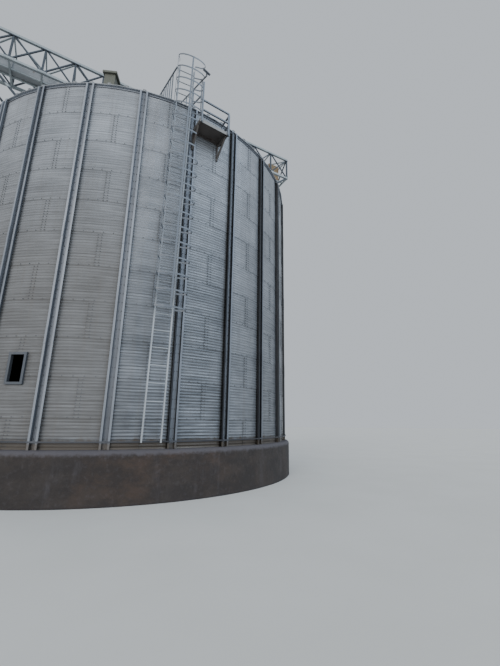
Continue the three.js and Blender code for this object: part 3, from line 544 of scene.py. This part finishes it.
def wall_tree(sheet, sizes, material):
    """One sheet in each tier, alternate tiers shifted by half a sheet, each with its own shade"""
    tree, given = new_tree("wall sheets", {"Start": 0.0, "Seed": 0})
    tiers = []
    for tier in range(TIERS):
        low = SHEET_ORIGIN + tier * TIER
        bottom = max(low - sizes.lower_lap, PLINTH_TOP + 0.002)
        height = min(low + TIER + sizes.upper_lap, EAVE) - bottom
        start = add(tree, "Math ADD", given["Start"], BAY_ANGLE * ((tier + 1) % 2))
        shade = add(tree, "FunctionNodeRandomValue", Min=sizes.tone_low, Max=sizes.tone_high, ID=tier,
                    Seed=given["Seed"], data_type="FLOAT", out=1)
        tiers.append(add(tree, "GeometryNodeGroup", node_tree=sheet,
                         Rows=round(height / PITCH * sizes.wave_steps), Bottom=bottom, Height=height,
                         Start=start, Tone=shade, Depth=sizes.wave_depth, Thickness=sizes.sheet_plate,
                         Lift=sizes.lap_lift))
    return close_tree(tree, add(tree, "GeometryNodeJoinGeometry", tiers), material)


def bolt_tree(sizes, material):
    """Hexagon heads in rows round the wall, in pairs, with alternate tiers turned by a shift"""
    tree, given = new_tree("bolt rows", {
        "Rows": 1, "Columns": BAYS, "First row": 0, "Rows a tier": 12.0, "Start": 0.0,
        "Turn step": SHEET_ANGLE, "Pair": BAY_ANGLE, "Tier shift": 0.0, "Row height": PITCH,
        "Radius": WALL_RADIUS, "Fall": 0.0, "Across": sizes.bolt_across, "Head": sizes.bolt_head})

    def split(count, size):
        """The rest and the whole number when a count is divided by a size"""
        rest = add(tree, "Math MODULO", count, size)
        whole = add(tree, "Math SUBTRACT", count, rest)
        return rest, add(tree, "Math DIVIDE", whole, size)

    column, line = split(add(tree, "GeometryNodeInputIndex"), given["Columns"])
    row = add(tree, "Math ADD", line, given["First row"])
    share, tier = split(row, given["Rows a tier"])
    other, pair = split(column, 2.0)
    odd = add(tree, "Math MODULO", tier, 2.0)
    turn = add(tree, "Math MULTIPLY_ADD", pair, given["Turn step"], given["Start"])
    turn = add(tree, "Math MULTIPLY_ADD", other, given["Pair"], turn)
    turn = add(tree, "Math MULTIPLY_ADD", odd, given["Tier shift"], turn)
    height = add(tree, "Math MULTIPLY_ADD", row, given["Row height"], SHEET_ORIGIN)
    fall = add(tree, "Math MULTIPLY", share, given["Fall"])
    radius = add(tree, "Math SUBTRACT", given["Radius"], fall)
    outward, spot = on_circle(tree, turn, radius, height)
    count = add(tree, "Math MULTIPLY", given["Rows"], given["Columns"])
    points = add(tree, "GeometryNodePoints", count, spot)
    low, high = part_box("hatch_frame")
    away = add(tree, "VectorMath SUBTRACT", spot, (low + high) / 2)
    away = add(tree, "VectorMath DIVIDE", away, HATCH_CLEAR)
    away = add(tree, "VectorMath LENGTH", away, out="Value")
    outside = add(tree, "Math GREATER_THAN", away, 1.0)
    half = add(tree, "Math MULTIPLY", given["Across"], 0.5)
    head = add(tree, "GeometryNodeMeshCylinder", Vertices=6, Radius=half, Depth=given["Head"])
    facing = add(tree, "FunctionNodeAlignRotationToVector", Vector=outward, axis="Z")
    heads = add(tree, "GeometryNodeInstanceOnPoints", points, Instance=head, Rotation=facing,
                Selection=outside)
    return close_tree(tree, heads, material)


def rib_tree(sizes, material):
    """Raised ribs up the roof, evenly round it"""
    tree, given = new_tree("roof ribs", {
        "Ribs": sizes.ribs_a_bay * BAYS, "Foot width": sizes.rib_foot, "Top width": sizes.rib_top,
        "Rib height": sizes.rib_height})
    # The section is drawn about its middle, so its line runs just above the roof
    low, high = ROOF_EDGE - 0.02, PEAK + 0.02
    line = add(tree, "GeometryNodeCurvePrimitiveLine", Start=(0.0, -low, roof_height(low) + 0.02),
               End=(0.0, -high, roof_height(high) + 0.02))
    section = add(tree, "GeometryNodeCurvePrimitiveQuadrilateral", Height=given["Rib height"],
                  Bottom_Width=given["Foot width"], Top_Width=given["Top width"], Offset=0.0,
                  mode="TRAPEZOID")
    rib = add(tree, "GeometryNodeCurveToMesh", line, Profile_Curve=section, Fill_Caps=True)
    share = add(tree, "Math DIVIDE", 2 * math.pi, given["Ribs"])
    turn = add(tree, "Math MULTIPLY", add(tree, "GeometryNodeInputIndex"), share)
    points = add(tree, "GeometryNodePoints", given["Ribs"])
    way = add(tree, "CombineXYZ", 0.0, 0.0, turn)
    ribs = add(tree, "GeometryNodeInstanceOnPoints", points, Instance=rib, Rotation=way)
    return close_tree(tree, ribs, material)


def box_between(bm, corner, opposite, place=Matrix.Identity(4)):
    """A closed box between two corners, carried by a matrix"""
    (x0, y0, z0), (x1, y1, z1) = corner, opposite
    outline = ((x0, y0), (x1, y0), (x1, y1), (x0, y1))
    low, high = ([bm.verts.new(place @ Vector((x, y, z))) for x, y in outline] for z in (z0, z1))
    bm.faces.new(low[::-1])
    bm.faces.new(high)
    for i in range(4):
        j = (i + 1) % 4
        bm.faces.new((low[i], low[j], high[j], high[i]))


def plain_mesh(name, bm, smooth=False):
    """Closes a bmesh into a mesh with outward faces"""
    bmesh.ops.recalc_face_normals(bm, faces=bm.faces)
    for face in bm.faces:
        face.smooth = smooth
    mesh = bpy.data.meshes.new(name)
    bm.to_mesh(mesh)
    bm.free()
    return mesh


# Settings

def length(name, description, value):
    """A property for a size in metres"""
    return bpy.props.FloatProperty(name=name, description=description, default=value, unit="LENGTH")


def number(name, description, value, least):
    """A property for a whole number"""
    return bpy.props.IntProperty(name=name, description=description, default=value, min=least)


def colour(name, description, code):
    """A colour property with an sRGB hex default"""
    return bpy.props.FloatVectorProperty(name=name, description=description, default=linear(code), size=4,
                                         subtype="COLOR", min=0.0, max=1.0)


class SiloSheets(bpy.types.PropertyGroup):
    """Sizes of the wall sheets and their bolts"""
    wave_depth: length("Corrugation depth", "From valley to crest", 0.011)
    wave_steps: number("Steps a wave", "Faces up each corrugation", 6, 4)
    sheet_columns: number("Columns a sheet", "Faces along each sheet", 8, 4)
    sheet_radius: length("Sheet radius", "Mean distance from the axis", 5.937)
    sheet_plate: length("Sheet thickness", "Thickness of the drawn sheet", 0.0025)
    lap_lift: length("Lap lift", "How far a lapping edge stands proud", 0.0038)
    side_lap: length("Side lap", "Lap of one sheet over the next", 0.12)
    lower_lap: length("Lower lap", "How far a sheet hangs over the tier below", 0.034)
    upper_lap: length("Upper lap", "How far a sheet runs up behind the next tier", 0.03)
    tone_low: bpy.props.FloatProperty(
        name="Darkest sheet", description="Shade of the dullest sheet", default=0.06)
    tone_high: bpy.props.FloatProperty(
        name="Brightest sheet", description="Shade of the brightest sheet", default=0.4)
    lap_bolts: number("Bolts a sheet", "Bolts along a sheet's lower edge", 12, 1)
    side_bolts: length("Side bolt spacing", "Between the two bolt rows of a side lap", 0.085)
    web_bolts: length("Web bolt spacing", "Between the two bolt rows of a stiffener", 0.06)
    bolt_across: length("Bolt width", "Across a seam bolt with its washer", 0.025)
    bolt_head: length("Bolt head", "Height of a seam bolt", 0.012)


class SiloFittings(bpy.types.PropertyGroup):
    """Sizes of the plinth, splices, roof ribs, gussets and flanges"""
    plinth_columns: number("Plinth columns", "Faces round the plinth", 288, 48)
    plinth_radius: length("Plinth radius", "Of its upright face", 6.178)
    shoulder: length("Shoulder", "Radius of the plinth's rounded top edge", 0.105)
    splice_plate: length("Splice thickness", "Plate of a stiffener's splice", 0.004)
    splice_length: length("Splice length", "Height of a stiffener's splice", 0.42)
    splice_drop: length("Splice drop", "How far a splice reaches below its tier", 0.2)
    splice_shift: length("Splice shift", "How much lower every second splice sits", 0.1)
    ribs_a_bay: number("Ribs a bay", "Roof ribs between two stiffeners", 3, 1)
    rib_foot: length("Rib foot", "Width of a roof rib at its foot", 0.09)
    rib_top: length("Rib top", "Width of a roof rib at its top", 0.04)
    rib_height: length("Rib height", "Height of a roof rib's section", 0.045)
    gusset_plate: length("Gusset thickness", "Plate of the bridge's gussets", 0.008)
    gusset_half: length("Gusset half width", "Each way from a joint of the truss", 0.16)
    gusset_end: length("End gusset half width", "Each way from an end joint", 0.11)
    gusset_reach: length("Gusset reach", "How far a gusset goes past its chord's middle", 0.1)
    flange_first: length("First flange", "From the casing's tail to its first joint", 1.2)
    flange_step: length("Flange spacing", "Length of one casing section", 2.15)
    flange_plate: length("Flange thickness", "Plate of a casing flange", 0.008)
    flange_reach: length("Flange reach", "From the casing's middle to a flange's edge", 0.235)


class SiloColours(bpy.types.PropertyGroup):
    """Colours of the finishes"""
    zinc_dull: colour("Dull zinc", "Dullest wall sheet", "3d4044")
    zinc_bright: colour("Bright zinc", "Brightest wall sheet", "a6aab0")
    # Also darkens the strip beside each stiffener as painted shadow
    zinc_stain_and_shade: colour("Dust on zinc", "Run-down dust and grime", "6b6762")
    # Grain dust together with painted shade on the lower tiers left of the front
    grain_dust_and_shade: colour("Grain dust", "Matt film left of the front", "75706a")
    mud: colour("Mud", "Splashed strip above the plinth", "5a5249")
    channel_dull: colour("Dull channel", "Dullest part of the stiffeners", "4a4f57")
    channel_bright: colour("Bright channel", "Worn lips of the stiffeners", "8f949c")
    # Also the painted shade in the stiffeners' corners, behind their lips, over their webs and on their
    # darkened lips
    channel_grime_and_shade: colour("Channel grime", "Grime in the stiffeners' corners", "3c3d42")
    roof_dull: colour("Dull roof", "Dullest roof sheet", "74777a")
    roof_bright: colour("Bright roof", "Brightest roof sheet", "a2a5a8")
    vent_dull: colour("Dull vent", "Dullest part of the roof vent", "45473f")
    vent_bright: colour("Bright vent", "Brightest part of the roof vent", "6f7168")
    bar_dull: colour("Dull bar", "Dullest part of the ladder", "5b5f65")
    bar_bright: colour("Bright bar", "Brightest part of the ladder", "b4b8bc")
    cage_dull: colour("Dull cage", "Dullest part of the cage and rails", "51565d")
    cage_bright: colour("Bright cage", "Brightest part of the cage and rails", "7d8289")
    bolt_dull: colour("Dull bolts", "Dullest bolt heads", "3f4144")
    bolt_bright: colour("Bright bolts", "Brightest bolt heads", "66696d")
    deck: colour("Platform paint", "What is left of the platform's paint", "4a4644")
    deck_worn: colour("Worn platform", "Chalked platform paint", "625d59")
    # Painted light on the platform's front edge
    deck_edge_light: colour("Deck edge", "Rubbed front edge of the platform", "8f8f8e")
    rust: colour("Rust", "Rust on the platform", "48302a")
    bridge: colour("Bridge paint", "Grey paint of the bridge", "8b9396")
    bridge_worn: colour("Worn bridge", "Chalked bridge paint", "abb1b3")
    bridge_bracing: colour("Bridge bracing", "Dark bars between the chords", "2c343e")
    bridge_rust: colour("Bridge rust", "Rust spots on the bridge", "6e5748")
    casing: colour("Casing sheet", "Conveyor casing", "868a8d")
    casing_worn: colour("Worn casing", "Chalked casing", "a2a5a7")
    tail: colour("Tail paint", "Faded yellow of the conveyor's tail", "86704f")
    tail_worn: colour("Worn tail", "Chalked yellow", "98876a")
    tail_rust: colour("Tail rust", "Rust on the conveyor's tail", "6b4a30")
    plinth: colour("Cement render", "Body of the plinth", "3a3431")
    plinth_red: colour("Reddish render", "Warm patches of the plinth", "44372f")
    plinth_damp: colour("Damp render", "Dark patches of the plinth", "2d2928")
    plinth_pale: colour("Pale render", "Shoulder and marks of the plinth", "5a575c")
    lamp: colour("Lamp housing", "Floodlight body", "3a424c")
    lamp_dust: colour("Lamp dust", "Dust on the floodlight", "6b6f74")
    floor: colour("Floor", "Studio floor", "d2d0cb")
    floor_worn: colour("Floor mottle", "Faint mottle of the floor", "c6c4be")
    sky: colour("Studio light", "Soft light from all round", "dfe6ee")


# Operators

class SILO_OT_finishes(bpy.types.Operator):
    """Makes every finish"""
    bl_idname = "silo.finishes"
    bl_label = "Finishes"

    def execute(self, context):
        c = context.scene.silo_colours
        wall_zinc("galvanised corrugated sheet", c, context.scene.silo_sheets)
        stiffener_zinc("galvanised stiffener", c.channel_dull, c.channel_bright, c.channel_grime_and_shade, c.mud)
        galvanised("galvanised roof sheet", c.roof_dull, c.roof_bright, c.zinc_stain_and_shade)
        galvanised("sooty roof vent", c.vent_dull, c.vent_bright, c.zinc_stain_and_shade)
        galvanised("galvanised bar", c.bar_dull, c.bar_bright, c.zinc_stain_and_shade, lighter_below=4.4)
        galvanised("dull galvanised bar", c.cage_dull, c.cage_bright, c.zinc_stain_and_shade)
        galvanised("dull hatch frame", c.channel_dull, c.bar_dull, c.zinc_stain_and_shade)
        galvanised("zinc plated bolts", c.bolt_dull, c.bolt_bright, c.zinc_stain_and_shade, metallic=0.7)
        painted("rust stained platform", c.deck, c.deck_worn, c.rust, 0.6, rusty=0.35, edge=c.deck_edge_light)
        painted("weathered grey paint", c.bridge, c.bridge_worn, c.bridge_rust, 0.6, rusty=0.1,
                bracing=c.bridge_bracing)
        painted("weathered casing sheet", c.casing, c.casing_worn, c.bridge_rust, 0.5)
        painted("faded yellow paint", c.tail, c.tail_worn, c.tail_rust, 0.6, rusty=0.5)
        render_coat("cement render", c.plinth, c.plinth_red, c.plinth_damp, c.plinth_pale)
        lamp_housing("dark lamp housing", c.lamp, c.lamp_dust)
        pale_floor("pale floor", c.floor, c.floor_worn)
        return {"FINISHED"}


class SILO_OT_wall(bpy.types.Operator):
    """Corrugated sheets of the wall, lapped and staggered, with the hatch opening cut through"""
    bl_idname = "silo.wall"
    bl_label = "Wall Sheets"

    def execute(self, context):
        sizes = context.scene.silo_sheets
        material = bpy.data.materials["galvanised corrugated sheet"]
        tree = wall_tree(sheet_group(sizes), sizes, material)
        for i in range(SHEETS):
            mesh = grown(tree, {"Start": BAY_ANGLE / 2 + i * SHEET_ANGLE, "Seed": 11 + i})
            made = piece(f"wall_sheets_{i + 1:02d}", mesh, material)
            if i >= SHEETS - 2:
                cut_hatch(made)
            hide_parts(f"wall_segment_{i + 1:02d}")
        return {"FINISHED"}


def cut_hatch(wall):
    """Cuts the small hatch's opening through a wall piece"""
    low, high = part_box("hatch_frame")
    bm = bmesh.new()
    box_between(bm, (-HATCH_HALF, -6.2, low.z + HATCH_RIM), (HATCH_HALF, -5.7, high.z - HATCH_RIM),
                turned_by(HATCH_BEARING))
    cutter = bpy.data.objects.new("cutter", plain_mesh("cutter", bm))
    bpy.context.scene.collection.objects.link(cutter)
    cut = wall.modifiers.new("opening", "BOOLEAN")
    cut.operation, cut.solver, cut.object = "DIFFERENCE", "EXACT", cutter
    cut.use_self = True
    mesh = evaluated_mesh(wall)
    wall.modifiers.clear()
    wall.data = mesh
    bpy.data.objects.remove(cutter)


class SILO_OT_bolts(bpy.types.Operator):
    """Bolts along the side laps, the tier laps and the stiffeners"""
    bl_idname = "silo.bolts"
    bl_label = "Bolts"

    def execute(self, context):
        sizes = context.scene.silo_sheets
        material = bpy.data.materials["zinc plated bolts"]
        tree = bolt_tree(sizes, material)
        crest = sizes.sheet_radius + sizes.wave_depth / 2 + sizes.sheet_plate
        pitch = SHEET_ANGLE / sizes.lap_bolts
        inset = (sizes.side_lap - sizes.side_bolts) / 2 / WALL_RADIUS
        web = sizes.web_bolts / WALL_RADIUS
        rows = TIERS * WAVES - FIRST_WAVE
        runs = {
            "side_lap_bolts": {
                "Rows": rows - 1, "Columns": 2 * SHEETS, "First row": FIRST_WAVE + 1,
                "Turn step": SHEET_ANGLE, "Pair": sizes.side_bolts / WALL_RADIUS,
                "Start": BAY_ANGLE * 1.5 + inset, "Tier shift": BAY_ANGLE,
                "Radius": crest + 2 * sizes.lap_lift, "Fall": sizes.lap_lift / WAVES},
            "tier_lap_bolts": {
                "Rows": TIERS - 1, "Columns": SHEETS * sizes.lap_bolts, "First row": 1,
                "Turn step": 2 * pitch, "Pair": pitch, "Start": pitch / 2, "Row height": TIER,
                "Rows a tier": 1.0, "Radius": crest + 1.5 * sizes.lap_lift},
            "stiffener_bolts": {
                "Rows": (rows - 2) // 3, "Columns": 2 * BAYS, "First row": 2, "Turn step": BAY_ANGLE,
                "Pair": web, "Start": -web / 2, "Row height": 3 * PITCH,
                "Radius": WEB_FACE + sizes.bolt_head / 3},
        }
        for name, values in runs.items():
            piece(name, grown(tree, values), material)
        return {"FINISHED"}


class SILO_OT_stiffeners(bpy.types.Operator):
    """Finish of the stiffeners, and the sleeves where one length of stiffener laps the next"""
    bl_idname = "silo.stiffeners"
    bl_label = "Stiffeners"

    def execute(self, context):
        sizes = context.scene.silo_fittings
        material = dress("galvanised stiffener", *(n for n in NODES if n.startswith("stiffener_frame")))
        plate = sizes.splice_plate
        side, lip = CHANNEL_HALF + 0.0006, LIP_FACE + 0.0004
        # Each sleeve is a plate along the channel's side and a cover on its lip, a hair clear of both
        plates = ((side, side + plate, WEB_FACE + 0.0005, LIP_FACE - 0.0062),
                  (CHANNEL_HALF - 0.002, CHANNEL_HALF + LIP_WIDTH, lip, lip + plate))
        bm = bmesh.new()
        for i in range(BAYS):
            place = turned_by(math.degrees(i * BAY_ANGLE))
            for tier in SPLICE_TIERS:
                low = SHEET_ORIGIN + tier * TIER - sizes.splice_drop - i % 2 * sizes.splice_shift
                for near, far, inner, outer in plates:
                    for x0, x1 in ((-far, -near), (near, far)):
                        box_between(bm, (x0, -outer, low), (x1, -inner, low + sizes.splice_length), place)
        piece("stiffener_splices", plain_mesh("stiffener_splices", bm), material)
        return {"FINISHED"}


class SILO_OT_plinth(bpy.types.Operator):
    """The rendered plinth, uneven as hand work is"""
    bl_idname = "silo.plinth"
    bl_label = "Plinth"

    def execute(self, context):
        sizes = context.scene.silo_fittings
        around, outer, shoulder = sizes.plinth_columns, sizes.plinth_radius, sizes.shoulder
        # The top sags only outside the foot, and is even inside the lap
        foot, lap = 5.99, 5.95
        # Lumps of the render, broad and fine: how close they stand and how deep they go
        broad, deep, fine, shallow = 1.7, 0.011, 7.0, 0.004
        # The rim's sag: how far down it reaches, how close its waves stand and how deep they go
        rim, waves, droop = 0.15, 2.3, 0.018
        inner = outer - shoulder
        profile = [(0.0, 0.0), (outer, 0.0)]
        profile += [(outer, z / 1000) for z in range(60, 1021, 60)]
        profile += [(inner + shoulder * math.cos(a), PLINTH_TOP - shoulder + shoulder * math.sin(a))
                    for a in (math.radians(t) for t in (15, 35, 55, 75, 90))]
        profile += [(radius, PLINTH_TOP) for radius in (foot, 5.93, 5.6, 0.0)]
        bm = bmesh.new()
        rings = []
        for radius, z in profile:
            if radius == 0.0:
                rings.append([bm.verts.new((0, 0, z))])
                continue
            ring = []
            for i in range(around):
                turn = 2 * math.pi * i / around
                spot = polar(radius, turn, z)
                rough = noise.fractal(spot * broad, 0.6, 2.0, 5) * deep + noise.noise(spot * fine) * shallow
                if z <= 0.0 or radius < lap:
                    rough = 0.0
                dent = -abs(rough) - (0.004 if z < 1.0 else 0.0)
                edge = max(0.0, (z - PLINTH_TOP + rim) / rim) if radius > foot else 0.0
                sag = edge * noise.noise(Vector((spot.x * waves, spot.y * waves, 4.0))) * droop
                ring.append(bm.verts.new(polar(radius + dent, turn, z + min(0.0, sag))))
            rings.append(ring)
        for low, high in zip(rings, rings[1:]):
            for i in range(around):
                j = (i + 1) % around
                if len(low) == 1:
                    bm.faces.new((low[0], high[j], high[i]))
                elif len(high) == 1:
                    bm.faces.new((low[i], low[j], high[0]))
                else:
                    bm.faces.new((low[i], low[j], high[j], high[i]))
        material = bpy.data.materials["cement render"]
        made = piece("plinth_render", plain_mesh("plinth_render", bm, smooth=True), material)
        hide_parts("concrete_plinth")
        return {"FINISHED"}


class SILO_OT_roof(bpy.types.Operator):
    """Roof finish, with a raised rib along each roof sheet"""
    bl_idname = "silo.roof"
    bl_label = "Roof"

    def execute(self, context):
        dress("sooty roof vent", "roof_vent")
        material = dress("galvanised roof sheet", "roof_shell", "peak_cap", "fill_spout")
        ribs = grown(rib_tree(context.scene.silo_fittings, material))
        piece("roof_ribs", ribs, material)
        return {"FINISHED"}


class SILO_OT_climbing(bpy.types.Operator):
    """Finish of the ladder, cage, handrails, platform, hatch and floodlight"""
    bl_idname = "silo.climbing"
    bl_label = "Ladder, Cage and Platform"

    def execute(self, context):
        dress("galvanised bar", "ladder", "roof_ladder")
        dress("dull hatch frame", "hatch_frame")
        dress("dull galvanised bar", "cage_left", "cage_front", "cage_right", "roof_handrail_left",
              "roof_handrail_right", "platform_rail_front", "platform_rail_side")
        dress("rust stained platform", "platform_deck", "platform_bracket_left", "platform_bracket_right")
        dress("dark lamp housing", "floodlight")
        return {"FINISHED"}


class SILO_OT_bridge(bpy.types.Operator):
    """Finish of the bridge and conveyor, with gusset plates and casing flanges"""
    bl_idname = "silo.bridge"
    bl_label = "Conveyor Bridge"

    def execute(self, context):
        sizes = context.scene.silo_fittings
        grey = dress("weathered grey paint", "bridge_front_side", "bridge_back_side", "bridge_floor",
                     "bridge_top_bracing", "bridge_end_brace", "trestle_left", "trestle_right")
        casing = dress("weathered casing sheet", "conveyor_casing")
        dress("faded yellow paint", "conveyor_tail")
        place = turned_by(BRIDGE_BEARING)
        # The end gussets go this far past the last joints, just short of the chords' ends
        past = 0.042
        start, stop = -BRIDGE_END - past, BRIDGE_BAYS * BRIDGE_BAY - BRIDGE_END + past
        bm = bmesh.new()
        for i in range(BRIDGE_BAYS + 1):
            joint = i * BRIDGE_BAY - BRIDGE_END
            wide = sizes.gusset_end if i in (0, BRIDGE_BAYS) else sizes.gusset_half
            y0, y1 = max(joint - wide, start), min(joint + wide, stop)
            for side in (-1, 1):
                x0, x1 = sorted((side * BRIDGE_SIDE, side * (BRIDGE_SIDE + sizes.gusset_plate)))
                for z0, z1 in ((CHORD_LOW - CHORD_HALF, CHORD_LOW + sizes.gusset_reach),
                               (CHORD_HIGH - sizes.gusset_reach, CHORD_HIGH + CHORD_HALF)):
                    box_between(bm, (x0, y0, z0), (x1, y1, z1), place)
        piece("bridge_gussets", plain_mesh("bridge_gussets", bm), grey)

        plate, reach = sizes.flange_plate, sizes.flange_reach
        bm = bmesh.new()
        for i in range(CASING_JOINTS):
            joint = sizes.flange_first + i * sizes.flange_step - CASING_END
            # Two flanges meet at each joint, a hair apart
            for y0 in (joint - plate - 0.001, joint + 0.001):
                for x0, x1 in ((-reach, -CASING_SIDE), (CASING_SIDE, reach)):
                    box_between(bm, (x0, y0, CASING_FLOOR), (x1, y0 + plate, CASING_LID), place)
        piece("casing_flanges", plain_mesh("casing_flanges", bm), casing)
        return {"FINISHED"}


class SILO_OT_stage(bpy.types.Operator):
    """Pale floor, soft light and the camera"""
    bl_idname = "silo.stage"
    bl_label = "Stage"

    def execute(self, context):
        scene = context.scene
        bm = bmesh.new()
        bm.faces.new([bm.verts.new((x * FLOOR_REACH, y * FLOOR_REACH, 0))
                      for x, y in ((-1, -1), (1, -1), (1, 1), (-1, 1))])
        mesh = bpy.data.meshes.new("floor")
        bm.to_mesh(mesh)
        bm.free()
        mesh.materials.append(bpy.data.materials["pale floor"])
        floor = bpy.data.objects.new("floor", mesh)
        scene.collection.objects.link(floor)

        world = bpy.data.worlds.new("soft studio")
        world.use_nodes = True
        sky = world.node_tree.nodes["Background"].inputs
        sky["Color"].default_value = scene.silo_colours.sky
        sky["Strength"].default_value = SKY_STRENGTH
        scene.world = world
        for name, (energy, angle, tint, (tilt, turn)) in SUNS.items():
            light = bpy.data.lights.new(name, "SUN")
            light.energy, light.angle, light.color = energy, math.radians(angle), tint
            lamp = bpy.data.objects.new(name, light)
            lamp.rotation_euler = (math.radians(tilt), 0, math.radians(turn))
            scene.collection.objects.link(lamp)

        eye = bpy.data.cameras.new("camera")
        eye.sensor_width = 36.0
        eye.lens = LENS
        eye.shift_x, eye.shift_y = SHIFT
        eye.clip_end = 500.0
        camera = bpy.data.objects.new("camera", eye)
        heading, pitch, roll = (math.radians(a) for a in (HEADING, PITCH_UP, ROLL))
        ahead = Vector((math.sin(heading) * math.cos(pitch), math.cos(heading) * math.cos(pitch),
                        math.sin(pitch)))
        level = Vector((math.cos(heading), -math.sin(heading), 0))
        right = math.cos(roll) * level + math.sin(roll) * level.cross(ahead)
        axes = Matrix((right, right.cross(ahead), -ahead)).transposed().to_4x4()
        camera.matrix_world = Matrix.Translation(EYE) @ axes
        scene.collection.objects.link(camera)
        scene.camera = camera
        return {"FINISHED"}


class SILO_PT_panel(bpy.types.Panel):
    """Lists the silo's operators and sizes"""
    bl_idname = "SILO_PT_panel"
    bl_label = "Grain Silo"
    bl_space_type = "VIEW_3D"
    bl_region_type = "UI"
    bl_category = "Silo"

    def draw(self, context):
        scene = context.scene
        for operator in OPERATORS:
            self.layout.operator(operator.bl_idname)
        for label, kind in GROUPS.items():
            for name in kind.__annotations__:
                self.layout.prop(getattr(scene, label), name)


OPERATORS = (SILO_OT_finishes, SILO_OT_wall, SILO_OT_bolts, SILO_OT_stiffeners, SILO_OT_plinth, SILO_OT_roof,
             SILO_OT_climbing, SILO_OT_bridge, SILO_OT_stage)
GROUPS = {"silo_sheets": SiloSheets, "silo_fittings": SiloFittings, "silo_colours": SiloColours}


def register():
    """Registers the settings, operators and panel"""
    for kind in (*GROUPS.values(), *OPERATORS, SILO_PT_panel):
        bpy.utils.register_class(kind)
    for label, kind in GROUPS.items():
        setattr(bpy.types.Scene, label, bpy.props.PointerProperty(type=kind))


def unregister():
    """Takes them away again"""
    for label in GROUPS:
        delattr(bpy.types.Scene, label)
    for kind in (SILO_PT_panel, *reversed(OPERATORS), *reversed(GROUPS.values())):
        bpy.utils.unregister_class(kind)


def main():
    """Makes the whole silo"""
    register()
    bpy.ops.silo.finishes()
    bpy.ops.silo.wall()
    bpy.ops.silo.bolts()
    bpy.ops.silo.stiffeners()
    bpy.ops.silo.plinth()
    bpy.ops.silo.roof()
    bpy.ops.silo.climbing()
    bpy.ops.silo.bridge()
    bpy.ops.silo.stage()


if __name__ == "__main__":
    main()
